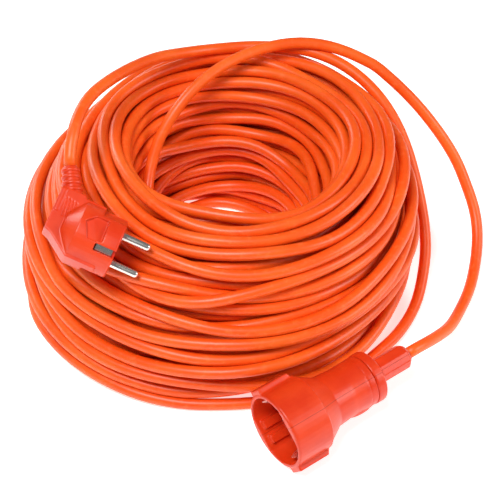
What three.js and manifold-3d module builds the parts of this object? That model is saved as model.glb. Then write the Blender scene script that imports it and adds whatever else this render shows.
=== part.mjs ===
// A coiled mains extension cord: an angled two-pin earthed plug, a long three-core cable
// wound into a loose leaning coil, and a round in-line socket with two sprung earth contacts.
// Millimetres, +Z up, the coil and the socket lie on the plane z = 0.
import * as THREE from 'three';
import { mergeVertices } from 'three/addons/utils/BufferGeometryUtils.js';
import Module from 'manifold-3d';

const wasm = await Module();
wasm.setup();

// ---------------------------------------------------------------- driving dimensions
const GAP = 0.3;                  // gap between pieces that touch
const FIT = 0.3;                  // clearance round an inserted piece

// cable
const CABLE_R = 4;                // three cores of 1.5 mm2 in one jacket
const CORE_R = 1.3;               // insulated core
const CORE_RING_R = CORE_R + 0.75; // core centres from the cable's axis
const CORE_BORE_R = CORE_RING_R + CORE_R + FIT;
const CORE_SIDES = 8;
const CABLE_SIDES = 10;
const CABLE_STEP = 2.4 * 2 * CABLE_R;
const RESTING = CABLE_R + 0.4;    // height of the cable's axis where it lies on the floor

// pins and sleeves, shared by the plug and the socket
const PIN_PITCH = 19;
const PIN_R = 2.4;
const PIN_LENGTH = 19;
const EARTH_OFFSET = 10;          // earth socket hole from the plug's axis
const EARTH_HOLE_R = 3.2;
const EARTH_HOLE_WALL = 0.7;
const CRIMP_R = 2.2;
const CRIMP_LENGTH = 6;

// plug: x runs along the pins, y towards the cable exit, z across the body
const HOOD_R = 20;
const HOOD_DEPTH = 28;
const BRIDGE_R = 15.2;            // moulded carrier that holds the pins
const BRIDGE_DEPTH = 12;
const PLUG_BACK = -47;            // rear face of the grip block
const BLOCK_TOP = 22;             // side of the block where the cable leaves
const BLOCK_HALF = 8;             // half thickness of the grip block
const CHANNEL_HALF = 6.2;         // half width of the passage for the cores
const POCKET = { floor: 3, outline: [[-25, 3], [-19, 9], [-14.5, 9], [-14.5, -7], [-20, -7]] };
const PIN_TURN = 30;              // degrees from the exit direction to the line of the pins
const EARTH_SLOT = { width: 5, depth: 14 };
const GUIDE_GROOVE = { width: 16.8, depth: 16, floorR: 17.3 };
const STRAP_THICK = 0.8;
const STRAP_R = 16;               // middle of the side contacts
const STRAP_WIDTH = 4.2;
const RELIEF_LEAN = 28.7;         // degrees the bend relief leans back from y
const RELIEF_R = 7;
const RELIEF_LENGTH = 17.5;
const RELIEF_STEM = 8;
const RELIEF_STEM_R = 5.5;
const RELIEF_RINGS = 4;

// socket: x points out of the mouth, y across, z up
const CUP_R = 26.25;
const CUP_DEPTH = 27;
const RECESS_DEPTH = 17.5;
const RECESS_R = 23.5;            // on the earth contacts' axis
const RECESS_HALF = 20.25;        // on the guide ribs' axis
const WAIST_R = 16.8;
const SHOULDER_END = -40;
const BODY_END = -71.5;
const COLLAR_R = 17.8;
const COLLAR_LENGTH = 7.6;
const BOOT_ACROSS = 16;
const BOOT_LENGTH = 29.5;
const BOOT_STEM_R = 6.5;
const INSERT_R = 16.2;
const INSERT_LENGTH = 18;
const ROOM_R = 13.6;              // wiring room behind the insert
const THROAT_R = 6.8;             // passage for the cable's cores
const SLEEVE_R = 2.75;
const SLEEVE_WALL = 0.35;
const LUG = { proud: 2.8, width: 13, length: 23.5, ramp: 2.5 };
const GUIDE_RIB = { width: 5.6, proud: 2.6, apart: 10.6, length: 14 };
const LEAF = { thick: 0.8, width: 8, rootR: 20, noseR: 16.8, tip: -3.6, foot: 13.2 };
const CLIP_TURN = -38.7;          // degrees about x from y to the lower earth contact

// where the pieces lie, measured from the middle of the coil's base
const PLUG_FACE = [-56, -93.5, 109];
const PLUG_YAW = -13.6;
const PLUG_PITCH = 21.2;
const PLUG_ROLL = 23.7;
const SOCKET_MOUTH = [43.4, -173.5, CUP_R];
const SOCKET_YAW = 180 + 36.7;

// coil: a heap of turns, wide at the base, whose top is pushed aside
const COIL_LEAN = [0.183, 0.087]; // sideways shift for each millimetre of height
const COIL_PROFILE = [            // radius, height: outside from the base up, then inside down
  [131, 0], [135, 8], [137, 24], [135.5, 44], [131, 62], [124, 78], [115, 92], [105, 103],
  [94, 110.5], [84, 113.5], [76, 113], [72, 108], [71.5, 98], [69.5, 86], [67, 74], [64.5, 60],
  [62, 44], [60, 24], [58, 0],
];
const COIL_SEGMENTS = 72;

// ---------------------------------------------------------------- materials
const colours = {
  jacket: [0xe8501c, 0.5, 0], shell: [0xd8321c, 0.45, 0], carrier: [0xc92d1a, 0.55, 0],
  nickel: [0xc9c6bd, 0.28, 1], brass: [0xc9a24e, 0.35, 1],
  brown: [0x5a3420, 0.6, 0], blue: [0x2f63b5, 0.6, 0], earth: [0x9aa52a, 0.6, 0],
};

function material(name) {
  const [color, roughness, metalness] = colours[name];
  return new THREE.MeshStandardMaterial({ color, roughness, metalness });
}

// ---------------------------------------------------------------- solids
const deg = THREE.MathUtils.degToRad;

// A closed solid from a geometry: shared corners merged, flat slivers dropped, faces outward.
function solid(geometry) {
  const bare = geometry.index ? geometry.toNonIndexed() : geometry.clone();
  bare.deleteAttribute('normal');
  bare.deleteAttribute('uv');
  const merged = mergeVertices(bare, 1e-4);
  const place = merged.getAttribute('position').array;
  const index = merged.getIndex().array;
  const kept = [];
  let volume = 0;
  for (let i = 0; i < index.length; i += 3) {
    const [a, b, c] = [index[i], index[i + 1], index[i + 2]];
    if (a === b || b === c || c === a) continue;
    kept.push(a, b, c);
    const [p, q, r] = [a, b, c].map((k) => new THREE.Vector3().fromArray(place, 3 * k));
    volume += p.dot(q.cross(r));
  }
  if (volume < 0) kept.reverse();
  return new wasm.Manifold(new wasm.Mesh({
    numProp: 3, vertProperties: Float32Array.from(place), triVerts: Uint32Array.from(kept),
  }));
}

function geometryOf(body) {
  const mesh = body.getMesh();
  const geometry = new THREE.BufferGeometry();
  geometry.setAttribute('position', new THREE.BufferAttribute(mesh.vertProperties, 3));
  geometry.setIndex(new THREE.BufferAttribute(mesh.triVerts, 1));
  const shaded = geometry.toNonIndexed();
  shaded.computeVertexNormals();
  return shaded;
}

// A solid of revolution about x, from [x, radius] points; the ends close on the axis.
function turned(points, segments = 32) {
  const outline = [[points[0][0], 0], ...points, [points.at(-1)[0], 0]];
  const profile = outline.map(([along, radius]) => new THREE.Vector2(radius, along));
  return solid(new THREE.LatheGeometry(profile, segments).rotateZ(-Math.PI / 2));
}

function rod(from, to, radius, segments = 24) {
  return turned([[from, radius], [to, radius]], segments);
}

function tube(from, to, outer, inner, segments = 24) {
  return rod(from, to, outer, segments).subtract(rod(from - 1, to + 1, inner, segments));
}

function block([x0, x1], [y0, y1], [z0, z1]) {
  const geometry = new THREE.BoxGeometry(x1 - x0, y1 - y0, z1 - z0);
  return solid(geometry.translate((x0 + x1) / 2, (y0 + y1) / 2, (z0 + z1) / 2));
}

// A flat outline in x and y, given thickness from z0 to z1.
function plate(outline, z0, z1) {
  const shape = new THREE.Shape(outline.map(([x, y]) => new THREE.Vector2(x, y)));
  const geometry = new THREE.ExtrudeGeometry(shape, { depth: z1 - z0, bevelEnabled: false });
  return solid(geometry.translate(0, 0, z0));
}

function placed(body, matrix) {
  return body.transform(matrix.elements);
}

function turnedAbout(body, degrees) {
  return placed(body, new THREE.Matrix4().makeRotationX(deg(degrees)));
}

function moved(body, x, y, z) {
  return placed(body, new THREE.Matrix4().makeTranslation(x, y, z));
}

// A round bar along a smooth curve through points, with flat ends.
function bar(points, radius, sides, step) {
  const curve = new THREE.CatmullRomCurve3(points.map((p) => new THREE.Vector3(...p)), false,
    'centripetal');
  const section = new THREE.Shape();
  for (let i = 0; i < sides; i += 1) {
    const angle = (2 * Math.PI * i) / sides;
    const corner = [radius * Math.cos(angle), radius * Math.sin(angle)];
    if (i === 0) section.moveTo(...corner);
    else section.lineTo(...corner);
  }
  section.closePath();
  const steps = Math.ceil(curve.getLength() / step);
  return solid(new THREE.ExtrudeGeometry(section, { steps, extrudePath: curve, bevelEnabled: false }));
}

function addPiece(group, name, finish, body) {
  const mesh = new THREE.Mesh(geometryOf(body), material(finish));
  mesh.name = name;
  group.add(mesh);
}

// The y, z place of a point at a radius and an angle about x.
function polar(radius, degrees) {
  return [radius * Math.cos(deg(degrees)), radius * Math.sin(deg(degrees))];
}

// ---------------------------------------------------------------- plug
const PIN_HALF = PIN_PITCH / 2;
const EARTH_TURN = PIN_TURN + 90;
const CRIMP_FRONT = -BRIDGE_DEPTH - 1.3;
const reliefFoot = new THREE.Vector3(-39.4, BLOCK_TOP, 0);
const reliefAxis = new THREE.Vector3(-Math.sin(deg(RELIEF_LEAN)), Math.cos(deg(RELIEF_LEAN)), 0);
const reliefMatrix = new THREE.Matrix4()
  .makeRotationZ(deg(90 + RELIEF_LEAN))
  .setPosition(reliefFoot);

// Places on the plug where the line of the pins and the line of the earth contacts cross the hood.
const pinPlaces = [PIN_TURN, PIN_TURN + 180];
const earthPlaces = [EARTH_TURN, EARTH_TURN + 180];

function plugBody() {
  const hood = turned([[0, HOOD_R - 0.8], [-0.8, HOOD_R], [-HOOD_DEPTH, HOOD_R],
    [-HOOD_DEPTH - 9, HOOD_R / 2]], 40);
  const grip = plate([
    [PLUG_BACK, -8], [-42, -10], [-HOOD_DEPTH, -HOOD_R], [-8, -HOOD_R], [-8, HOOD_R],
    [-30, HOOD_R], [-31, BLOCK_TOP], [PLUG_BACK, BLOCK_TOP],
  ], -BLOCK_HALF, BLOCK_HALF);
  let body = hood.add(grip);
  body = body.subtract(rod(-BRIDGE_DEPTH - 4, 1, BRIDGE_R + FIT, 40));
  body = body.subtract(rod(-HOOD_DEPTH, -BRIDGE_DEPTH, BRIDGE_R - 2.5, 32));
  const channel = block([-42, -HOOD_DEPTH + 2], [-6, 17], [-CHANNEL_HALF, CHANNEL_HALF]);
  const neck = placed(rod(-RELIEF_STEM - 3, 4, RELIEF_STEM_R + FIT), reliefMatrix);
  body = body.subtract(channel).subtract(neck);
  for (const angle of earthPlaces) {
    const slot = block([-EARTH_SLOT.depth, 1], [STRAP_R - 1.4, HOOD_R + 4],
      [-EARTH_SLOT.width / 2, EARTH_SLOT.width / 2]);
    body = body.subtract(turnedAbout(slot, angle));
  }
  for (const angle of pinPlaces) {
    const groove = block([-GUIDE_GROOVE.depth, 1], [GUIDE_GROOVE.floorR, HOOD_R + 4],
      [-GUIDE_GROOVE.width / 2, GUIDE_GROOVE.width / 2]);
    body = body.subtract(turnedAbout(groove, angle));
  }
  body = body.subtract(plate(POCKET.outline, HOOD_R - POCKET.floor, HOOD_R + 4));
  return body.subtract(plate(POCKET.outline, -HOOD_R - 4, POCKET.floor - HOOD_R));
}

function plugBridge() {
  let bridge = rod(-BRIDGE_DEPTH, 0, BRIDGE_R, 40);
  for (const angle of pinPlaces) {
    bridge = bridge.subtract(moved(rod(-BRIDGE_DEPTH - 1, 1, PIN_R + FIT), 0, ...polar(PIN_HALF, angle)));
  }
  const earthHole = moved(rod(-BRIDGE_DEPTH - 1, 1, EARTH_HOLE_R + FIT), 0,
    ...polar(EARTH_OFFSET, EARTH_TURN));
  return bridge.subtract(earthHole);
}

function plugPin() {
  const tip = PIN_LENGTH;
  return turned([[-BRIDGE_DEPTH - 1, PIN_R - 0.4], [-BRIDGE_DEPTH + 1, PIN_R], [tip - 2, PIN_R],
    [tip - 0.9, PIN_R - 0.5], [tip - 0.2, PIN_R - 1.3], [tip, PIN_R - 2]], 20);
}

function plugEarthStrap() {
  const width = [-STRAP_WIDTH / 2, STRAP_WIDTH / 2];
  const back = -BRIDGE_DEPTH - GAP;
  const outer = STRAP_R + STRAP_THICK / 2;
  let strap = block([back - STRAP_THICK, back], [-outer, outer], width);
  for (const side of [1, -1]) {
    const leg = [side * (STRAP_R - STRAP_THICK / 2), side * outer].sort((a, b) => a - b);
    strap = strap.add(block([back - STRAP_THICK, -2], leg, width));
  }
  return turnedAbout(strap, EARTH_TURN);
}

function plugRelief() {
  const pitch = RELIEF_LENGTH / RELIEF_RINGS;
  const points = [[-5, RELIEF_R]];
  for (let ring = 0; ring < RELIEF_RINGS; ring += 1) {
    const radius = RELIEF_R - 0.25 * ring;
    const start = ring * pitch;
    points.push([start + 0.62 * pitch, radius], [start + 0.66 * pitch, radius - 1.5]);
    if (ring < RELIEF_RINGS - 1) points.push([start + 0.96 * pitch, radius - 1.5], [start + pitch, radius - 0.25]);
    else points.push([RELIEF_LENGTH, radius - 1.5]);
  }
  const rings = placed(turned(points, 24), reliefMatrix);
  const clear = block([-80, 0], [-40, BLOCK_TOP + GAP], [-20, 20]);
  const stem = placed(rod(-RELIEF_STEM, 3, RELIEF_STEM_R), reliefMatrix);
  const bore = placed(rod(-RELIEF_STEM - 2, RELIEF_LENGTH + 2, CORE_BORE_R), reliefMatrix);
  return rings.subtract(clear).add(stem).subtract(bore);
}

// A core runs down the relief beside its fellows, then spreads to its crimp.
function plugCore(spread, crimpPlace) {
  const [offX, offZ] = polar(CORE_RING_R, spread);
  const across = new THREE.Vector3(Math.cos(deg(RELIEF_LEAN)), Math.sin(deg(RELIEF_LEAN)), 0);
  const along = (s) => reliefFoot.clone().addScaledVector(reliefAxis, s)
    .addScaledVector(across, offX).add(new THREE.Vector3(0, 0, offZ)).toArray();
  const [y, z] = crimpPlace;
  return bar([along(RELIEF_LENGTH - 0.5), along(8), along(-2), along(-RELIEF_STEM - 1),
    [-27.5, 0.35 * y + 2, 0.9 * z], [CRIMP_FRONT - CRIMP_LENGTH - 1, y, z],
    [CRIMP_FRONT - 1.5, y, z]], CORE_R, CORE_SIDES, 3.2);
}

function buildPlug() {
  const plug = new THREE.Group();
  addPiece(plug, 'plug_body', 'shell', plugBody());
  addPiece(plug, 'plug_bridge', 'carrier', plugBridge());
  addPiece(plug, 'plug_bend_relief', 'shell', plugRelief());
  const names = ['live', 'neutral'];
  names.forEach((name, i) => {
    const place = polar(PIN_HALF, pinPlaces[i]);
    addPiece(plug, `plug_pin_${name}`, 'nickel', moved(plugPin(), 0, ...place));
    addPiece(plug, `plug_crimp_${name}`, 'brass',
      moved(tube(CRIMP_FRONT - CRIMP_LENGTH, CRIMP_FRONT, CRIMP_R, CORE_R + FIT, 16), 0, ...place));
  });
  addPiece(plug, 'plug_earth_strap', 'nickel', plugEarthStrap());
  addPiece(plug, 'plug_earth_socket', 'brass',
    moved(tube(-BRIDGE_DEPTH + 0.4, -1.5, EARTH_HOLE_R, EARTH_HOLE_R - EARTH_HOLE_WALL, 20), 0,
      ...polar(EARTH_OFFSET, EARTH_TURN)));
  addPiece(plug, 'plug_crimp_earth', 'brass', tube(CRIMP_FRONT - CRIMP_LENGTH - STRAP_THICK,
    CRIMP_FRONT - STRAP_THICK, CRIMP_R, CORE_R + FIT, 16));
  addPiece(plug, 'plug_core_live', 'brown', plugCore(45, polar(PIN_HALF, pinPlaces[0])));
  addPiece(plug, 'plug_core_neutral', 'blue', plugCore(285, polar(PIN_HALF, pinPlaces[1])));
  addPiece(plug, 'plug_core_earth', 'earth', plugCore(165, [0, 0]));
  plug.rotation.set(deg(PLUG_ROLL), deg(PLUG_PITCH), deg(PLUG_YAW), 'ZYX');
  plug.position.set(...PLUG_FACE);
  return plug;
}

// ---------------------------------------------------------------- socket
const GUIDE_TURN = CLIP_TURN + 90;
const COLLAR_FRONT = BODY_END - GAP;
const COLLAR_BACK = COLLAR_FRONT - COLLAR_LENGTH;
const BOOT_END = COLLAR_BACK - BOOT_LENGTH;
const INSERT_FRONT = -RECESS_DEPTH - GAP;
const INSERT_BACK = INSERT_FRONT - INSERT_LENGTH;
const SOCKET_CRIMP_FRONT = INSERT_BACK - 0.8;
const STRAP_SLOT_R = 14.2;

function socketBody() {
  let body = turned([[0, CUP_R - 1], [-1, CUP_R], [-CUP_DEPTH, CUP_R], [-CUP_DEPTH, CUP_R - 0.8],
    [SHOULDER_END, WAIST_R + 1.2], [-55, WAIST_R], [BODY_END, WAIST_R + 0.6]], 48);
  for (const side of [0, 180]) {
    const ramp = plate([[-LUG.length - LUG.ramp, CUP_R - 2], [-LUG.length, CUP_R + LUG.proud],
      [-0.6, CUP_R + LUG.proud], [-0.6, CUP_R - 2]], -LUG.width / 2, LUG.width / 2);
    body = body.add(turnedAbout(ramp, CLIP_TURN + side));
  }
  const round = rod(-RECESS_DEPTH, 2, RECESS_R, 48);
  const slab = turnedAbout(block([-RECESS_DEPTH, 2], [-30, 30], [-RECESS_HALF, RECESS_HALF]), CLIP_TURN);
  body = body.subtract(round.intersect(slab));
  body = body.subtract(rod(INSERT_BACK - 1.6, -RECESS_DEPTH + 1, INSERT_R + FIT, 40));
  const room = turned([[INSERT_BACK + 1, ROOM_R], [-47, ROOM_R], [-54, THROAT_R],
    [BODY_END - 1, THROAT_R]], 32);
  body = body.subtract(room);
  for (const side of [0, 180]) {
    const seat = block([-RECESS_DEPTH - 1.6, -1.2], [LEAF.noseR - 2, RECESS_R + 1.2],
      [-LEAF.width / 2 - 1, LEAF.width / 2 + 1]);
    body = body.subtract(turnedAbout(seat, CLIP_TURN + side));
    for (const half of [-1, 1]) {
      const middle = (half * GUIDE_RIB.apart) / 2;
      const rib = block([-RECESS_DEPTH - 1, GUIDE_RIB.length - RECESS_DEPTH],
        [RECESS_HALF - GUIDE_RIB.proud, RECESS_HALF + 1],
        [middle - GUIDE_RIB.width / 2, middle + GUIDE_RIB.width / 2]);
      body = body.add(turnedAbout(rib, GUIDE_TURN + side));
    }
  }
  return body;
}

function socketInsert() {
  let insert = rod(INSERT_BACK, INSERT_FRONT, INSERT_R, 40);
  for (const side of [0, 180]) {
    const bore = moved(rod(INSERT_BACK - 1, INSERT_FRONT + 1, SLEEVE_R + FIT), 0,
      ...polar(PIN_HALF, GUIDE_TURN + side));
    const slot = block([INSERT_BACK - 1, INSERT_FRONT + 1], [STRAP_SLOT_R - 0.8, INSERT_R + 1],
      [-STRAP_WIDTH / 2 - FIT, STRAP_WIDTH / 2 + FIT]);
    insert = insert.subtract(bore).subtract(turnedAbout(slot, CLIP_TURN + side));
  }
  return insert;
}

function contactSleeve(angle) {
  const sleeve = tube(INSERT_BACK, INSERT_FRONT - 1.2, SLEEVE_R, SLEEVE_R - SLEEVE_WALL, 20);
  const slit = block([INSERT_BACK + 4, 0], [0, 4], [-0.4, 0.4]);
  return moved(turnedAbout(sleeve.subtract(slit), angle), 0, ...polar(PIN_HALF, angle));
}

function socketEarthStrap() {
  const width = [-STRAP_WIDTH / 2, STRAP_WIDTH / 2];
  const outer = STRAP_SLOT_R + STRAP_THICK / 2;
  const back = INSERT_BACK - GAP;
  let strap = block([back - STRAP_THICK, back], [-outer, outer], width);
  for (const side of [0, 180]) {
    const leg = block([back - STRAP_THICK, INSERT_FRONT], [outer - STRAP_THICK, outer], width);
    strap = strap.add(turnedAbout(leg, side));
  }
  return turnedAbout(strap, CLIP_TURN);
}

// A bent strip: its foot lies on the recess floor, its nose stands in from the wall.
function earthLeaf(angle) {
  const inside = [[-16.6, LEAF.foot], [-16.6, LEAF.rootR - 1], [-15.6, LEAF.rootR - LEAF.thick],
    [-12, LEAF.noseR + 0.8], [-9.6, LEAF.noseR], [-7.4, LEAF.noseR + 0.6], [LEAF.tip, LEAF.rootR - 0.6]];
  const outside = [[LEAF.tip - 0.4, LEAF.rootR + 0.3], [-7.7, LEAF.noseR + 1.5],
    [-9.6, LEAF.noseR + LEAF.thick], [-11.7, LEAF.noseR + 1.6], [-15.3, LEAF.rootR],
    [-16.2, LEAF.rootR + 0.5], [-17.2, LEAF.rootR + 0.5], [-17.4, LEAF.rootR - 0.5], [-17.4, LEAF.foot]];
  return turnedAbout(plate([...inside, ...outside], -LEAF.width / 2, LEAF.width / 2), angle);
}

function socketCollar() {
  const collar = turned([[COLLAR_FRONT, COLLAR_R - 0.4], [COLLAR_FRONT - 0.6, COLLAR_R],
    [COLLAR_BACK + 1.4, COLLAR_R], [COLLAR_BACK, COLLAR_R - 1.6]], 40);
  return collar.subtract(rod(COLLAR_BACK - 1, COLLAR_FRONT + 1, BOOT_STEM_R + FIT));
}

function socketBoot() {
  const corner = BOOT_ACROSS / 2 / Math.cos(Math.PI / 8);
  const end = turned([[COLLAR_BACK - GAP, corner], [BOOT_END + 3, corner], [BOOT_END, corner - 2.4]], 8);
  const boot = turnedAbout(end, 22.5).add(rod(COLLAR_BACK - 1, BODY_END + 2, BOOT_STEM_R));
  return boot.subtract(rod(BOOT_END - 1, BODY_END + 4, CORE_BORE_R));
}

function socketCore(spread, [y, z], crimpFront) {
  const [offY, offZ] = polar(CORE_RING_R, spread);
  return bar([[BOOT_END + 0.5, offY, offZ], [BODY_END, offY, offZ], [-58, offY, offZ],
    [-51, 0.5 * (y + offY), 0.5 * (z + offZ)], [crimpFront - CRIMP_LENGTH - 1, y, z],
    [crimpFront - 1.5, y, z]], CORE_R, CORE_SIDES, 4.5);
}

function buildSocket() {
  const socket = new THREE.Group();
  addPiece(socket, 'connector_body', 'shell', socketBody());
  addPiece(socket, 'connector_insert', 'carrier', socketInsert());
  addPiece(socket, 'connector_collar', 'shell', socketCollar());
  addPiece(socket, 'connector_boot', 'shell', socketBoot());
  ['live', 'neutral'].forEach((name, i) => {
    const angle = GUIDE_TURN + 180 * i;
    const place = polar(PIN_HALF, angle);
    const crimp = tube(SOCKET_CRIMP_FRONT - CRIMP_LENGTH, SOCKET_CRIMP_FRONT, CRIMP_R, CORE_R + FIT, 16);
    addPiece(socket, `connector_contact_${name}`, 'nickel', contactSleeve(angle));
    addPiece(socket, `connector_crimp_${name}`, 'brass', moved(crimp, 0, ...place));
    addPiece(socket, `connector_core_${name}`, name === 'live' ? 'brown' : 'blue',
      socketCore(CLIP_TURN + 120 - 240 * i, place, SOCKET_CRIMP_FRONT));
  });
  const earthFront = INSERT_BACK - 2 * GAP - STRAP_THICK;
  addPiece(socket, 'connector_crimp_earth', 'brass',
    tube(earthFront - CRIMP_LENGTH, earthFront, CRIMP_R, CORE_R + FIT, 16));
  addPiece(socket, 'connector_core_earth', 'earth', socketCore(CLIP_TURN, [0, 0], earthFront));
  addPiece(socket, 'connector_earth_strap', 'nickel', socketEarthStrap());
  addPiece(socket, 'earth_leaf_lower', 'nickel', earthLeaf(CLIP_TURN));
  addPiece(socket, 'earth_leaf_upper', 'nickel', earthLeaf(CLIP_TURN + 180));
  socket.rotation.set(0, 0, deg(SOCKET_YAW), 'ZYX');
  socket.position.set(...SOCKET_MOUTH);
  return socket;
}

// ---------------------------------------------------------------- cord
// Free stretches, from the plug over the top of the coil and down its right side, and from the
// socket up over the coil and down inside it. Each starts straight out of its bend relief.
const PLUG_LEAD = [
  [-85.3, -38.5, 150.5], [-82.5, -22, 156], [-76, -2, 157], [-65.5, 20, 152.5], [-51, 45, 144.5],
  [-35, 67, 135.5], [-15, 85.5, 125.5], [6, 97, 119.6], [28, 101, 118.4], [53, 100, 118.4],
  [72, 96.5, 117.2], [90, 91, 112.5], [105, 83, 106], [118, 73, 97.5], [129, 62, 86],
  [138, 48, 72], [145, 31, 55], [150, 12, 38], [151.5, -6, 25], [149, -24, 15],
  [144, -42, 7.5], [136, -59, RESTING + 0.2], [125.5, -75.5, RESTING], [112, -91, RESTING],
];
const SOCKET_LEAD = [
  [152, -88, 20], [164, -71, 12.5], [174, -49, 7], [182, -29, 5.5], [187, -11, 8], [190, 6, 15],
  [190, 21, 24], [187, 32, 33], [182, 42, 43], [176, 51, 54], [167, 60, 66], [156, 67, 79],
  [144, 74, 91], [129, 82, 103], [111, 91, 114], [91, 96, 121.5], [70, 97, 126.5],
  [53, 94.5, 127.5], [36, 88.5, 127], [21, 81, 126], [6, 71.5, 123.5], [-10, 58, 118.5],
  [-21, 46.5, 111], [-31, 37, 100], [-38, 29, 87], [-43.5, 20, 75], [-47, 9, 65],
  [-48.2, -4, 57],
];

function coil() {
  const profile = COIL_PROFILE.map(([radius, height]) => new THREE.Vector2(radius, height));
  profile.push(profile[0].clone());
  const ring = new THREE.LatheGeometry(profile, COIL_SEGMENTS).rotateX(Math.PI / 2);
  const [leanX, leanY] = COIL_LEAN;
  const lean = new THREE.Matrix4().set(1, 0, leanX, 0, 0, 1, leanY, 0, 0, 0, 1, 0, 0, 0, 0, 1);
  return solid(ring.applyMatrix4(lean));
}

// A point at local coordinates of a placed group.
function worldPoint(group, x, y, z) {
  group.updateMatrixWorld(true);
  return group.localToWorld(new THREE.Vector3(x, y, z)).toArray();
}

function lead(group, start, direction, straight, points) {
  const from = new THREE.Vector3(...start);
  const to = from.clone().addScaledVector(direction, straight);
  return bar([worldPoint(group, ...from.toArray()), worldPoint(group, ...to.toArray()), ...points],
    CABLE_R, CABLE_SIDES, CABLE_STEP);
}

// ---------------------------------------------------------------- assembly
const plug = buildPlug();
const socket = buildSocket();
const cord = new THREE.Group();
addPiece(cord, 'cord_coil', 'jacket', coil());
const reliefEnd = reliefFoot.clone().addScaledVector(reliefAxis, RELIEF_LENGTH + GAP).toArray();
addPiece(cord, 'cord_plug_lead', 'jacket', lead(plug, reliefEnd, reliefAxis, 5, PLUG_LEAD));
addPiece(cord, 'cord_connector_lead', 'jacket',
  lead(socket, [BOOT_END - GAP, 0, 0], new THREE.Vector3(-1, 0, 0), 10, SOCKET_LEAD));

// The origin is under the middle of the box round the plug and the socket.
const ends = new THREE.Box3().setFromObject(plug, true).union(new THREE.Box3().setFromObject(socket, true));
const middle = ends.getCenter(new THREE.Vector3());
const extensionCord = new THREE.Group();
extensionCord.add(plug, socket, cord);
extensionCord.position.set(-middle.x, -middle.y, 0);

export default extensionCord;
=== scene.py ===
# %% [markdown]
# # An orange extension cord, coiled on the floor
# An extension cord is three things: an angled plug, a long round cable and a socket. The frame
# that is loaded here holds every rigid piece at its real place and size, in metres, and stands
# a plain ring in for the coil. This file makes what the eye sees round that frame: the cable
# turn by turn, the moulded shells with their soft edges, and a finish for every piece.

# %% Load the frame
import math
import bmesh
import bpy
import numpy as np
from mathutils import Euler, Matrix, Vector


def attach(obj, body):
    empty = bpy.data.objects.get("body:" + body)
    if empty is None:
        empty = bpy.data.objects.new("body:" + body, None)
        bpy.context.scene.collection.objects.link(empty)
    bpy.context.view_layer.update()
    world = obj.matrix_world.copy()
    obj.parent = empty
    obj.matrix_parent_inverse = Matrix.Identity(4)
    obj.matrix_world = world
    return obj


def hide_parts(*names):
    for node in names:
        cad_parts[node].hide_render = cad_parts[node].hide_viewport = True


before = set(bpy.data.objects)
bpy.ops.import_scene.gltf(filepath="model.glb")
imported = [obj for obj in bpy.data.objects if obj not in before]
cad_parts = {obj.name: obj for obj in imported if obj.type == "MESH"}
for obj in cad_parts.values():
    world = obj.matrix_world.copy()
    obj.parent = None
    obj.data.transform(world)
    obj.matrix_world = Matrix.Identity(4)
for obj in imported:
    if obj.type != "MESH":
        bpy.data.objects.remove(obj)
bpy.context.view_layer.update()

MM = 0.001

# %% [markdown]
# ## Shared places
# The plug, the socket and the free stretches of cable are all placed from one point: the middle
# of the coil's base. The ring that stands in for the coil tells where that is, because its
# lowest corners make two circles round it. Each end piece then gets a matrix of its own, so that
# its details can be written in its own simple directions and carried to where it lies.

# %% Find the middle of the coil's base
ring_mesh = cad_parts["cord_coil"].data
ring_points = np.array([v.co[:] for v in ring_mesh.vertices])
base_points = ring_points[ring_points[:, 2] < 0.5 * MM]
coil_middle = 0.5 * (base_points.min(axis=0) + base_points.max(axis=0))
coil_middle[2] = 0.0
print("middle of the coil's base:", coil_middle.round(4))


def from_coil(point):
    """A point in millimetres from the middle of the coil's base, as a place in metres."""
    return Vector(coil_middle) + Vector(point) * MM


# %% Matrices of the plug and the socket
def lying_at(point, yaw, pitch, roll):
    turn = Euler([math.radians(a) for a in (roll, pitch, yaw)], "XYZ").to_matrix().to_4x4()
    return Matrix.Translation(from_coil(point)) @ turn @ Matrix.Scale(MM, 4)


cup_radius = 26.25
plug_place = lying_at((-56, -93.5, 109), -13.6, 21.2, 23.7)
socket_place = lying_at((43.4, -173.5, cup_radius), 216.7, 0, 0)
print("plug face at", [round(v, 4) for v in plug_place.translation])

# %% [markdown]
# ## Camera, floor and light
# A product on a pale floor is seen from a stand: the camera looks down at half a right angle,
# from about a metre away, through a long lens, which keeps the near and far turns of the coil
# nearly the same size. A soft light above and two weaker ones at the sides give the cable its
# round look. The floor glows a little, so that it stays white under the coil as well.

# %% Camera
view_height = math.radians(45)
view_distance = 1.10
look_at = from_coil((27.93, -34.86, 50))
toward = Vector((0, -math.cos(view_height), math.sin(view_height)))
camera_data = bpy.data.cameras.new("camera")
camera_data.lens = 116.4
camera_data.sensor_width = 36
camera = bpy.data.objects.new("camera", camera_data)
camera.location = look_at + toward * view_distance
camera.rotation_euler = (math.pi / 2 - view_height, 0, 0)
bpy.context.scene.collection.objects.link(camera)
bpy.context.scene.camera = camera

# %% Floor and world
floor_size = 4.0
floor_mesh = bpy.data.meshes.new("floor")
floor_mesh.from_pydata(
    [(x * floor_size, y * floor_size, 0) for x, y in ((-1, -1), (1, -1), (1, 1), (-1, 1))],
    [], [(0, 1, 2, 3)])
floor = bpy.data.objects.new("floor", floor_mesh)
bpy.context.scene.collection.objects.link(floor)
floor_paint = bpy.data.materials.new("floor_paint")
floor_paint.use_nodes = True
floor_surface = floor_paint.node_tree.nodes["Principled BSDF"]
floor_surface.inputs["Base Color"].default_value = (0.98, 0.98, 0.98, 1)
floor_surface.inputs["Roughness"].default_value = 0.9
floor_surface.inputs["Emission Color"].default_value = (1, 1, 1, 1)
floor_surface.inputs["Emission Strength"].default_value = 0.6
floor_mesh.materials.append(floor_paint)
world = bpy.data.worlds.new("studio")
world.use_nodes = True
world.node_tree.nodes["Background"].inputs["Color"].default_value = (1, 1, 1, 1)
world.node_tree.nodes["Background"].inputs["Strength"].default_value = 0.16
bpy.context.scene.world = world
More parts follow.
